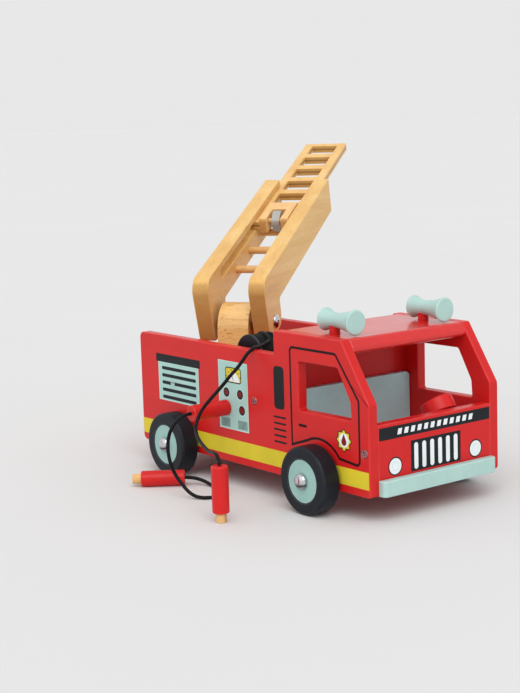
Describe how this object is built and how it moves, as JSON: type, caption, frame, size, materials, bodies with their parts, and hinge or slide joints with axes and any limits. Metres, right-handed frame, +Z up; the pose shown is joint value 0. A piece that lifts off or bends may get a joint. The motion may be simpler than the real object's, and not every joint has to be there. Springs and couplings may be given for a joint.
{
  "type": "toy fire engine",
  "caption": "Painted wooden toy fire engine with a turning, raising and extending ladder, open cab, hose reel, rolling wheels and two hoses with plugs.",
  "frame": {"origin": "on the floor, midway between the two axles, on the vehicle's centre plane", "axes": "+X towards the vehicle's front, +Y towards its left side, +Z up"},
  "size_m": [0.4816, 0.4485, 0.2763],
  "materials": {
    "red_paint": "satin painted",
    "aqua_paint": "satin painted",
    "navy_paint": "satin painted",
    "boom_wood": "clear satin lacquer",
    "turret_wood": "clear gloss lacquer",
    "dowel_wood": "bare dowel",
    "plated_steel": "polished",
    "grey_catch": "satin",
    "hose_cord": "smooth"
  },
  "bodies": {
    "chassis": {"side_right": "red_paint", "side_left": "red_paint", "bed_deck": "red_paint", "chassis_floor": "red_paint", "tailboard": "red_paint", "cab_rear_wall": "red_paint", "roof_panel": "red_paint", "front_panel": "red_paint", "bumper": "aqua_paint", "seat_back": "aqua_paint", "steering_wheel": "red_paint", "steering_peg": "dowel_wood", "horn_right": "aqua_paint", "horn_left": "aqua_paint", "horn_posts": "red_paint", "panel_screws": "plated_steel", "front_axle": "plated_steel", "rear_axle": "plated_steel", "front_axle_caps": "plated_steel", "rear_axle_caps": "plated_steel", "axle_washers": "plated_steel", "reel_bracket_outer": "red_paint", "reel_bracket_inner": "red_paint", "side_plug": "red_paint", "side_plug_tip": "dowel_wood", "end_plug": "red_paint", "end_plug_tip": "dowel_wood", "nozzle": "red_paint", "nozzle_tip": "dowel_wood", "reel_hose": "hose_cord", "plug_hose": "hose_cord"},
    "wheel_front_right": {"tyre_front_right": "navy_paint", "hub_front_right": "aqua_paint"},
    "wheel_front_left": {"tyre_front_left": "navy_paint", "hub_front_left": "aqua_paint"},
    "wheel_rear_right": {"tyre_rear_right": "navy_paint", "hub_rear_right": "aqua_paint"},
    "wheel_rear_left": {"tyre_rear_left": "navy_paint", "hub_rear_left": "aqua_paint"},
    "reel": {"reel_flange_outer": "navy_paint", "reel_flange_inner": "navy_paint", "reel_core": "navy_paint", "reel_axle": "dowel_wood", "wound_hose": "hose_cord"},
    "turret": {"turret_block": "turret_wood", "swivel_screw": "plated_steel", "swivel_washer": "plated_steel"},
    "ladder": {"pivot_bolt": "plated_steel", "pivot_spacers": "plated_steel", "rail_right": "boom_wood", "rail_left": "boom_wood", "ladder_rungs": "dowel_wood"},
    "extension": {"ladder_extension": "boom_wood", "pawl_fork": "boom_wood", "pawl_pin": "dowel_wood"},
    "catch": {"pawl": "grey_catch"}
  },
  "joints": [
    {"name": "wheel_front_right_spin", "type": "hinge", "parent": "chassis", "child": "wheel_front_right", "pos_m": [0.0945, -0.08025, 0.0275], "axis": [0, 1, 0], "continuous": true},
    {"name": "wheel_front_left_spin", "type": "hinge", "parent": "chassis", "child": "wheel_front_left", "pos_m": [0.0945, 0.08025, 0.0275], "axis": [0, 1, 0], "continuous": true},
    {"name": "wheel_rear_right_spin", "type": "hinge", "parent": "chassis", "child": "wheel_rear_right", "pos_m": [-0.0945, -0.08025, 0.0275], "axis": [0, 1, 0], "continuous": true},
    {"name": "wheel_rear_left_spin", "type": "hinge", "parent": "chassis", "child": "wheel_rear_left", "pos_m": [-0.0945, 0.08025, 0.0275], "axis": [0, 1, 0], "continuous": true},
    {"name": "reel_spin", "type": "hinge", "parent": "chassis", "child": "reel", "pos_m": [-0.016, -0.04, 0.1105], "axis": [0, 1, 0], "continuous": true},
    {"name": "turret_swivel", "type": "hinge", "parent": "chassis", "child": "turret", "pos_m": [-0.097, 0, 0.082], "axis": [0, 0, 1], "continuous": true},
    {"name": "ladder_raise", "type": "hinge", "parent": "turret", "child": "ladder", "pos_m": [-0.097, 0, 0.1275], "axis": [0.809, 0.5878, 0], "range_deg": [-17, 53]},
    {"name": "ladder_extend", "type": "slide", "parent": "ladder", "child": "extension", "axis": [-0.5621, 0.7737, 0.2924], "range_m": [-0.1, 0.045]},
    {"name": "pawl_swing", "type": "hinge", "parent": "extension", "child": "catch", "pos_m": [-0.17455, 0.10673, 0.20799], "axis": [0.809, 0.5878, 0], "range_deg": [-45, 10]}
  ]
}
